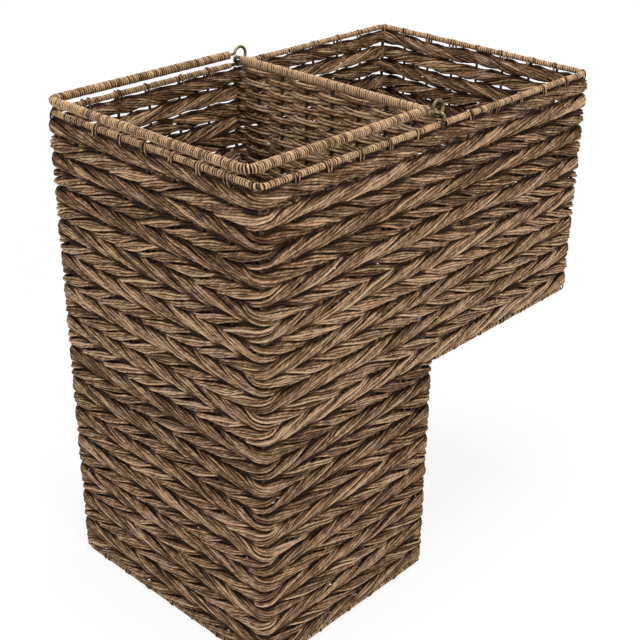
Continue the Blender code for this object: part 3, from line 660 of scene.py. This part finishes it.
def blank_material(name):
    """A new node material, its tree and its shader."""
    made = bpy.data.materials.new(name)
    made.use_nodes = True
    tree = made.node_tree
    return made, tree, tree.nodes["Principled BSDF"]


def node(tree, kind, **settings):
    """Add a node and give it its own settings."""
    made = tree.nodes.new(kind)
    for name, value in settings.items():
        setattr(made, name, value)
    return made


def fill(made, values):
    """Set the named inputs of a node."""
    for name, value in values.items():
        made.inputs[name].default_value = value


def link(tree, source, target):
    """Join an output to an input."""
    tree.links.new(source, target)


def maths(tree, operation, first, second=None, **settings):
    """Result of a math node on an output, and on another output or a number."""
    made = node(tree, "ShaderNodeMath", operation=operation, **settings)
    link(tree, first, made.inputs[0])
    if isinstance(second, float):
        made.inputs[1].default_value = second
    elif second is not None:
        link(tree, second, made.inputs[1])
    return made.outputs[0]


def sum_of(tree, parts):
    """Weighted sum of outputs, as a chain of multiply and add nodes."""
    total = None
    for output, weight in parts:
        step = node(tree, "ShaderNodeMath", operation="MULTIPLY_ADD")
        link(tree, output, step.inputs[0])
        step.inputs[1].default_value = weight
        if total is None:
            step.inputs[2].default_value = 0.0
        else:
            link(tree, total, step.inputs[2])
        total = step.outputs[0]
    return total


def noise(tree, place, scale, detail=2.0, roughness=0.5):
    """Level of a noise at a place."""
    made = node(tree, "ShaderNodeTexNoise")
    fill(made, {"Scale": scale, "Detail": detail, "Roughness": roughness})
    link(tree, place, made.inputs["Vector"])
    return made.outputs["Fac"]


def colours_of(tree, level, stops):
    """Colour ramp on a level, from its first stop to its last."""
    made = node(tree, "ShaderNodeValToRGB")
    ramp = made.color_ramp
    for element, (position, colour) in zip(ramp.elements, (stops[0], stops[-1])):
        element.position = position
        element.color = (*colour, 1)
    for position, colour in stops[1:-1]:
        ramp.elements.new(position).color = (*colour, 1)
    link(tree, level, made.inputs["Fac"])
    return made.outputs["Color"]


def roughen(tree, shader, height, strength, distance):
    """Bump of a height on a shader."""
    bump = node(tree, "ShaderNodeBump")
    fill(bump, {"Strength": strength, "Distance": distance})
    link(tree, height, bump.inputs["Height"])
    link(tree, bump.outputs["Normal"], shader.inputs["Normal"])


def fibre_material(name, dark, mid, light, around, along, twist, painted_shading):
    """Stained twisted fibre: each strand has its own shade, with long streaks, specks and slow blotches.

    The streaks' coordinates are (around * U + twist * V, along * V), so they spiral round the strand. The
    painted shading weighs cos(2 pi U) squared: it is painted shade on the flanks of a winding's turns and a
    painted highlight on their crests, and where it is negative painted shade on the top and the underside of
    a strand.
    """
    made, tree, shader = blank_material(name)
    # Each point's tint: its own shade, with painted shade on the walls' dives and painted light on the
    # panels
    shade = node(tree, "ShaderNodeAttribute", attribute_name=TINT).outputs["Fac"]
    hue = node(tree, "ShaderNodeAttribute", attribute_name=HUE).outputs["Fac"]
    lay = node(tree, "ShaderNodeUVMap", uv_map=LAY)
    split = node(tree, "ShaderNodeSeparateXYZ")
    link(tree, lay.outputs["UV"], split.inputs["Vector"])
    spiral = node(tree, "ShaderNodeCombineXYZ")
    link(tree, sum_of(tree, [(split.outputs["X"], around), (split.outputs["Y"], twist)]), spiral.inputs["X"])
    link(tree, sum_of(tree, [(split.outputs["Y"], along)]), spiral.inputs["Y"])
    link(tree, sum_of(tree, [(hue, 40.0)]), spiral.inputs["Z"])
    streaks = noise(tree, spiral.outputs["Vector"], 1.0, 4.0, 0.65)
    specks = noise(tree, spiral.outputs["Vector"], 6.0, 1.0)
    # Painted shade and highlight: cos squared of the angle round the tube, weighed by the painted shading
    facing = maths(tree, "COSINE", maths(tree, "MULTIPLY", split.outputs["X"], 2 * math.pi))
    painted_light_mask = maths(tree, "MULTIPLY", facing, facing)
    place = node(tree, "ShaderNodeTexCoord")
    blotches = noise(tree, place.outputs["Object"], 75.0)
    level = sum_of(tree, [(shade, 0.80), (streaks, 1.60), (specks, 0.70), (blotches, 0.50),
                          (painted_light_mask, painted_shading)])
    shifted = maths(tree, "ADD", level, -1.30 - 0.5 * painted_shading, use_clamp=True)
    # The ramp turns the level into colour: the fibre's own tones together with the painted shade and
    # highlight
    tone_and_painted_light = colours_of(tree, shifted, [(0.08, dark), (0.5, mid), (0.95, light)])
    tones = colours_of(tree, hue, [(0.0, (1.08, 0.95, 0.86)), (0.5, (1.0, 1.0, 1.0)),
                                   (1.0, (0.98, 1.00, 0.92))])
    warm = node(tree, "ShaderNodeMix", data_type="RGBA", blend_type="MULTIPLY")
    warm.inputs["Factor"].default_value = 1.0
    link(tree, tone_and_painted_light, warm.inputs["A"])
    link(tree, tones, warm.inputs["B"])
    link(tree, warm.outputs["Result"], shader.inputs["Base Color"])
    roughen(tree, shader, streaks, 0.6, 0.0004)
    shader.inputs["Roughness"].default_value = 0.65
    shader.inputs["Specular IOR Level"].default_value = 0.14
    return made


def wire_material(name, colour, worn):
    """Lacquered wire: dark, with worn patches that shift its colour and gloss."""
    made, tree, shader = blank_material(name)
    place = node(tree, "ShaderNodeTexCoord").outputs["Object"]
    patches = noise(tree, place, 160.0, 4.0)
    link(tree, colours_of(tree, patches, [(0.35, colour), (0.75, worn)]), shader.inputs["Base Color"])
    gloss = node(tree, "ShaderNodeMapRange")
    fill(gloss, {"To Min": 0.30, "To Max": 0.55})
    link(tree, patches, gloss.inputs["Value"])
    link(tree, gloss.outputs["Result"], shader.inputs["Roughness"])
    roughen(tree, shader, noise(tree, place, 1500.0), 0.15, 0.0002)
    shader.inputs["Metallic"].default_value = 0.75
    return made


def strand_stuff(context):
    """The wall strands' material, made once."""
    colours = context.scene.basket_colours
    # A negative painted shading: painted shade on the top and the underside of each strand
    return bpy.data.materials.get("strand_fibre") or fibre_material(
        "strand_fibre", colours.strand_dark, colours.strand_mid, colours.strand_light,
        around=5.0, along=120.0, twist=300.0, painted_shading=-0.32)


def cord_stuff(context):
    """The wound cord's material, made once."""
    colours = context.scene.basket_colours
    # Painted shading: painted shade on the flanks of the cord's turns and a painted highlight on their
    # crests
    return bpy.data.materials.get("cord_fibre") or fibre_material(
        "cord_fibre", colours.cord_dark, colours.cord_mid, colours.cord_light,
        around=3.0, along=200.0, twist=300.0, painted_shading=0.9)


# Operators


class BASKET_OT_weave_column(bpy.types.Operator):
    """Weave the rope rows round the column"""

    bl_idname = "basket.weave_column"
    bl_label = "Weave the column"

    def execute(self, context):
        sizes = context.scene.basket_weave
        weave_wall(context, "column", STEP_Y, sizes.rows_below, sizes.rows_above)
        return {"FINISHED"}


class BASKET_OT_weave_upper(bpy.types.Operator):
    """Weave the rope rows round the whole upper part"""

    bl_idname = "basket.weave_upper"
    bl_label = "Weave the upper part"

    def execute(self, context):
        weave_wall(context, "upper", BACK_Y, context.scene.basket_weave.rows_above, 0)
        return {"FINISHED"}


class BASKET_OT_weave_divider(bpy.types.Operator):
    """Weave the finer divider between the compartments"""

    bl_idname = "basket.weave_divider"
    bl_label = "Weave the divider"

    def execute(self, context):
        sizes = context.scene.basket_weave
        rng = np.random.default_rng(SEEDS["divider"])
        low, high = box_of("divider_weave")
        rows = panel_rows(low[2], high[2], sizes.panel_pitch)
        rail_end = box_of("divider_rail_wrap")[1][0]
        eyes = box_of("handle_wire")[0][2] - EYE_ROOM
        halves = np.where(rows > eyes, rail_end, high[0] + DIVIDER_TUCK)
        centres = panel_strands(halves, rows, DIVIDER_LIFT, sizes, rng) + np.array([0.0, STEP_Y, 0.0])
        weave_panel(context, "divider", centres, [0.0, 1.0, 0.0], rng)
        return {"FINISHED"}


class BASKET_OT_weave_floors(bpy.types.Operator):
    """Weave the two floor mats, whose edges tuck into the walls' strands"""

    bl_idname = "basket.weave_floors"
    bl_label = "Weave the floors"

    def execute(self, context):
        sizes = context.scene.basket_weave
        for stem in ("column_floor", "shelf_floor"):
            rng = np.random.default_rng(SEEDS[stem])
            low, high = box_of(stem + "_weave")
            rows = panel_rows(low[1] - MAT_TUCK, high[1] + MAT_TUCK, sizes.panel_pitch)
            halves = np.full(len(rows), high[0] + MAT_END_TUCK)
            centres = panel_strands(halves, rows, MAT_LIFT, sizes, rng)[..., [0, 2, 1]]
            centres[..., 2] += (low[2] + high[2]) / 2
            weave_panel(context, stem, centres, [0.0, 0.0, 1.0], rng)
        return {"FINISHED"}


class BASKET_OT_wind_rim(bpy.types.Operator):
    """Wind the cord on the rim wire, with a slit at each stake and a gap at the divider"""

    bl_idname = "basket.wind_rim"
    bl_label = "Wind the rim"

    def execute(self, context):
        sizes = context.scene.basket_cord
        rng = np.random.default_rng(SEEDS["rim"])
        line = loop_line(BACK_Y, RIM_Z)
        knots = wrapped(nearest_lengths(line, uprights(BACK_Y)), line)
        bare = beside_divider(at_length(line, knots)[0])
        middles = at_length(line, (knots[:-1] + knots[1:]) / 2)[0]
        thick = (RIM_CORD - RIM_WIRE) / 2
        coils = {"front": [], "rear": []}
        for span, middle in enumerate(middles):
            ends = []
            for knot, sign in ((span, 1), (span + 1, -1)):
                gap = sizes.divider_gap if bare[knot] else sizes.stake_gap * rng.uniform(*GAP_SPREAD)
                ends.append(knots[knot] + sign * gap / 2)
            side = "front" if middle[1] < STEP_Y else "rear"
            coils[side].append(winding(line, *ends, sizes.rim_turn, RIM_WIRE + thick, PALE["rim"], rng))
        for side, group in coils.items():
            join_windings(context, f"{side}_rim_winding", group, thick, sizes.rim_turn, "basket",
                          [f"{side}_rim_wrap"])
        return {"FINISHED"}


class BASKET_OT_lash_rim(bpy.types.Operator):
    """Tie the rim down at each stake with a loop of cord on either side of it"""

    bl_idname = "basket.lash_rim"
    bl_label = "Lash the rim"

    def execute(self, context):
        rng = np.random.default_rng(SEEDS["lashings"])
        line = loop_line(BACK_Y, RIM_Z)
        knots = nearest_lengths(line, uprights(BACK_Y))
        places = at_length(line, knots)[0]
        for side, relief in (("front", FRONT_RELIEF), ("rear", 0.0)):
            on_side = (places[:, 1] < STEP_Y) == (side == "front")
            lash(context, f"{side}_rim", line, knots[on_side & ~beside_divider(places)],
                 (RIM_CORD + relief, RIM_CORD + relief, 1), LASH_THICK + relief / 3, rng)
        return {"FINISHED"}


class BASKET_OT_wind_bases(bpy.types.Operator):
    """Wind and lash the cord on the column's base wire and on the shelf's edge wire"""

    bl_idname = "basket.wind_bases"
    bl_label = "Wind the bases"

    def execute(self, context):
        sizes = context.scene.basket_cord
        rng = np.random.default_rng(SEEDS["bases"])
        for stem, back_y in (("column", STEP_Y), ("shelf", BACK_Y)):
            low, high = box_of(stem + "_base_wrap")
            height = (low[2] + high[2]) / 2
            wire_low, wire_high = box_of(stem + "_base_wire")
            wire = (wire_high[2] - wire_low[2]) / 2
            thick = ((high[2] - low[2]) / 2 - wire) / 2
            if stem == "column":
                line = loop_line(back_y, height)
                knots = nearest_lengths(line, uprights(back_y))
                ends = wrapped(knots, line)
            else:
                corners = [(HALF_X, low[1]), (HALF_X, BACK_Y), (-HALF_X, BACK_Y), (-HALF_X, low[1])]
                line = rounded_line([(x, y, height) for x, y in corners], CORNER_RADIUS)
                places = [place for place in uprights(BACK_Y) if place[1] > low[1] + SHELF_START]
                knots = nearest_lengths(line, places)
                ends = np.concatenate([[0.0], knots, [line[0][-1]]])
            coils = [winding(line, start + sizes.stake_gap / 2, end - sizes.stake_gap / 2, sizes.rim_turn,
                             wire + thick, PALE["bases"], rng) for start, end in zip(ends, ends[1:])]
            join_windings(context, f"{stem}_base_winding", coils, thick, sizes.rim_turn, "basket",
                          [f"{stem}_base_wrap"])
            outer = wire + 2 * thick
            shape = (outer - BASE_SUNK, outer + BASE_OFF, -1)
            lash(context, f"{stem}_base", line, knots, shape, LASH_THICK, rng)
        return {"FINISHED"}


class BASKET_OT_wind_rail(bpy.types.Operator):
    """Wind the cord that binds the pivot wire to the divider's top wire"""

    bl_idname = "basket.wind_rail"
    bl_label = "Wind the rail"

    def execute(self, context):
        turn = context.scene.basket_cord.rim_turn
        rng = np.random.default_rng(SEEDS["rail"])
        low, high = box_of("divider_rail_wrap")
        half_wide = (high[1] - low[1]) / 2
        stretch = (high[2] - low[2]) / 2 - half_wide
        height = (low[2] + high[2]) / 2
        line = rounded_line([(low[0], STEP_Y, height), (high[0], STEP_Y, height)], 0.0)
        coil = winding(line, 0.0, line[0][-1], turn, half_wide - RAIL_CORD, PALE["rail"], rng, RAIL_STEPS,
                       stretch)
        join_windings(context, "divider_rail_winding", [coil], RAIL_CORD, turn, "basket",
                      ["divider_rail_wrap"])
        return {"FINISHED"}


class BASKET_OT_wind_handle(bpy.types.Operator):
    """Wind the cord on the bail handle"""

    bl_idname = "basket.wind_handle"
    bl_label = "Wind the handle"

    def execute(self, context):
        turn = context.scene.basket_cord.handle_turn
        rng = np.random.default_rng(SEEDS["handle"])
        low, high = box_of("handle_wrap")
        outer = (high[2] - low[2]) / 2
        height = (low[2] + high[2]) / 2
        arm, front, end = high[0] - outer, low[1] + outer, high[1]
        corners = [(-arm, end), (-arm, front), (arm, front), (arm, end)]
        line = rounded_line([(x, y, height) for x, y in corners], HANDLE_BEND)
        core = HANDLE_WIRE + (outer - HANDLE_WIRE) / 2
        coil = winding(line, 0.0, line[0][-1], turn, core, PALE["handle"], rng)
        join_windings(context, "handle_winding", [coil], outer - core, turn, "handle", ["handle_wrap"])
        return {"FINISHED"}


class BASKET_OT_lacquer_wires(bpy.types.Operator):
    """Give the CAD wires their lacquer"""

    bl_idname = "basket.lacquer_wires"
    bl_label = "Lacquer the wires"

    def execute(self, context):
        colours = context.scene.basket_colours
        dark = wire_material("lacquered_wire", colours.wire, colours.wire_worn)
        brassy = wire_material("rubbed_wire", colours.wire, colours.wire_brass)
        for name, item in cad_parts.items():
            if name.endswith(("_wire", "_post")) or "_stake_" in name:
                stuff = brassy if name in ("handle_wire", "handle_pivot_wire") else dark
                item.data.materials.clear()
                item.data.materials.append(stuff)
        return {"FINISHED"}


class BASKET_OT_set_stage(bpy.types.Operator):
    """Set the floor, the lamps, the world and the camera"""

    bl_idname = "basket.set_stage"
    bl_label = "Set the stage"

    def execute(self, context):
        scene = context.scene
        scene.view_settings.view_transform = "Standard"
        set_floor()
        set_world(scene)
        set_lamps(scene)
        set_camera(scene)
        return {"FINISHED"}


def looking_rays(tree):
    """One where the camera, a reflection or clear stuff looks, nought where light is gathered."""
    rays = node(tree, "ShaderNodeLightPath")
    either = maths(tree, "MAXIMUM", rays.outputs["Is Camera Ray"], rays.outputs["Is Glossy Ray"])
    return maths(tree, "MAXIMUM", either, rays.outputs["Is Transmission Ray"])


def seen_white(tree, lit, share):
    """That share of white to the looking rays, over the lit surface."""
    white = maths(tree, "MULTIPLY", looking_rays(tree), share)
    mix = node(tree, "ShaderNodeMixShader")
    glow = node(tree, "ShaderNodeEmission")
    fill(glow, {"Color": (1, 1, 1, 1), "Strength": 1.0})
    link(tree, white, mix.inputs["Fac"])
    link(tree, lit, mix.inputs[1])
    link(tree, glow.outputs[0], mix.inputs[2])
    return mix.outputs[0]


def set_floor():
    """A wide white floor that keeps a trace of the basket's shadow near it."""
    half = 6.0
    mesh = bpy.data.meshes.new("floor")
    mesh.from_pydata([(-half, -half, 0), (half, -half, 0), (half, half, 0), (-half, half, 0)], [],
                     [(0, 1, 2, 3)])
    stuff = bpy.data.materials.new("floor_white")
    stuff.use_nodes = True
    tree = stuff.node_tree
    tree.nodes.remove(tree.nodes["Principled BSDF"])
    matt = node(tree, "ShaderNodeBsdfDiffuse")
    matt.inputs["Color"].default_value = (0.82, 0.82, 0.82, 1)
    place = node(tree, "ShaderNodeTexCoord")
    away = node(tree, "ShaderNodeVectorMath", operation="LENGTH")
    link(tree, place.outputs["Object"], away.inputs[0])
    share = node(tree, "ShaderNodeMapRange")
    link(tree, away.outputs["Value"], share.inputs["Value"])
    fill(share, {"From Min": 0.4, "From Max": 1.1, "To Min": 0.85, "To Max": 1.0})
    white = seen_white(tree, matt.outputs[0], share.outputs["Result"])
    link(tree, white, tree.nodes["Material Output"].inputs["Surface"])
    mesh.materials.append(stuff)
    floor = bpy.data.objects.new("floor", mesh)
    bpy.context.scene.collection.objects.link(floor)


def set_world(scene):
    """A white surround: plain white to the looking rays, softer as a lamp."""
    world = bpy.data.worlds.new("studio")
    scene.world = world
    world.use_nodes = True
    tree = world.node_tree
    sky = tree.nodes["Background"]
    sky.inputs["Color"].default_value = (1, 1, 1, 1)
    level = node(tree, "ShaderNodeMapRange")
    link(tree, looking_rays(tree), level.inputs["Value"])
    fill(level, {"To Min": 0.40, "To Max": 1.0})
    link(tree, level.outputs["Result"], sky.inputs["Strength"])


def set_lamps(scene):
    """Three soft lamps: a broad key from the front, one from the side and one overhead."""
    lamps = (("key", (-0.9, -1.8, 1.7), 0.9, 28.0), ("side", (2.0, -0.6, 1.5), 0.9, 33.0),
             ("top", (0.2, 0.1, 2.2), 1.0, 32.0))
    for name, place, size, power in lamps:
        data = bpy.data.lights.new(name, "AREA")
        data.shape = "DISK"
        data.size = size
        data.energy = power
        lamp = bpy.data.objects.new(name, data)
        lamp.location = place
        aim = Vector((0, 0, 0.2)) - Vector(place)
        lamp.rotation_euler = aim.to_track_quat("-Z", "Y").to_euler()
        scene.collection.objects.link(lamp)


def set_camera(scene):
    """The photograph's viewpoint, from its azimuth, height angle, roll, aim, distance and focal length."""
    azimuth, rise, roll = math.radians(42.973), math.radians(27.203), math.radians(0.772)
    aim = Vector((-0.2637, 0.2725, 0.0))
    distance = 1.4547
    focal_pixels, image_pixels, sensor = 1210.6, 640.0, 36.0
    back = Vector((math.sin(azimuth) * math.cos(rise), -math.cos(azimuth) * math.cos(rise), math.sin(rise)))
    right = Vector((math.cos(azimuth), math.sin(azimuth), 0))
    up = back.cross(right)
    level = right * math.cos(roll) + up * math.sin(roll)
    upright = up * math.cos(roll) - right * math.sin(roll)
    data = bpy.data.cameras.new("camera")
    data.sensor_width = sensor
    data.lens = focal_pixels * sensor / image_pixels
    data.clip_start = 0.05
    data.clip_end = 50.0
    camera = bpy.data.objects.new("camera", data)
    turn = Matrix((level, upright, back)).transposed().to_4x4()
    camera.matrix_world = Matrix.Translation(aim + back * distance) @ turn
    scene.collection.objects.link(camera)
    scene.camera = camera


class BASKET_PT_looks(bpy.types.Panel):
    """The basket's pieces and sizes"""

    bl_idname = "BASKET_PT_looks"
    bl_label = "Stair basket"
    bl_space_type = "VIEW_3D"
    bl_region_type = "UI"
    bl_category = "Basket"

    def draw(self, context):
        layout = self.layout
        for group in (context.scene.basket_weave, context.scene.basket_cord, context.scene.basket_colours):
            for name in group.bl_rna.properties.keys():
                if name not in ("rna_type", "name"):
                    layout.prop(group, name)
        for operator in OPERATORS:
            layout.operator(operator.bl_idname)


OPERATORS = (BASKET_OT_weave_column, BASKET_OT_weave_upper, BASKET_OT_weave_divider, BASKET_OT_weave_floors,
             BASKET_OT_wind_rim, BASKET_OT_lash_rim, BASKET_OT_wind_bases, BASKET_OT_wind_rail,
             BASKET_OT_wind_handle, BASKET_OT_lacquer_wires, BASKET_OT_set_stage)
GROUPS = (WeaveSizes, CordSizes, BasketColours)


def register():
    """Make the classes known, and hang the settings on the scene."""
    for made in GROUPS + OPERATORS + (BASKET_PT_looks,):
        bpy.utils.register_class(made)
    bpy.types.Scene.basket_weave = PointerProperty(type=WeaveSizes)
    bpy.types.Scene.basket_cord = PointerProperty(type=CordSizes)
    bpy.types.Scene.basket_colours = PointerProperty(type=BasketColours)


def unregister():
    """Take the settings and the classes away again."""
    for name in ("basket_weave", "basket_cord", "basket_colours"):
        delattr(bpy.types.Scene, name)
    for made in reversed(GROUPS + OPERATORS + (BASKET_PT_looks,)):
        bpy.utils.unregister_class(made)


def main():
    """Register, and make every piece in order."""
    register()
    for operator in OPERATORS:
        group, name = operator.bl_idname.split(".")
        getattr(getattr(bpy.ops, group), name)()


if __name__ == "__main__":
    main()
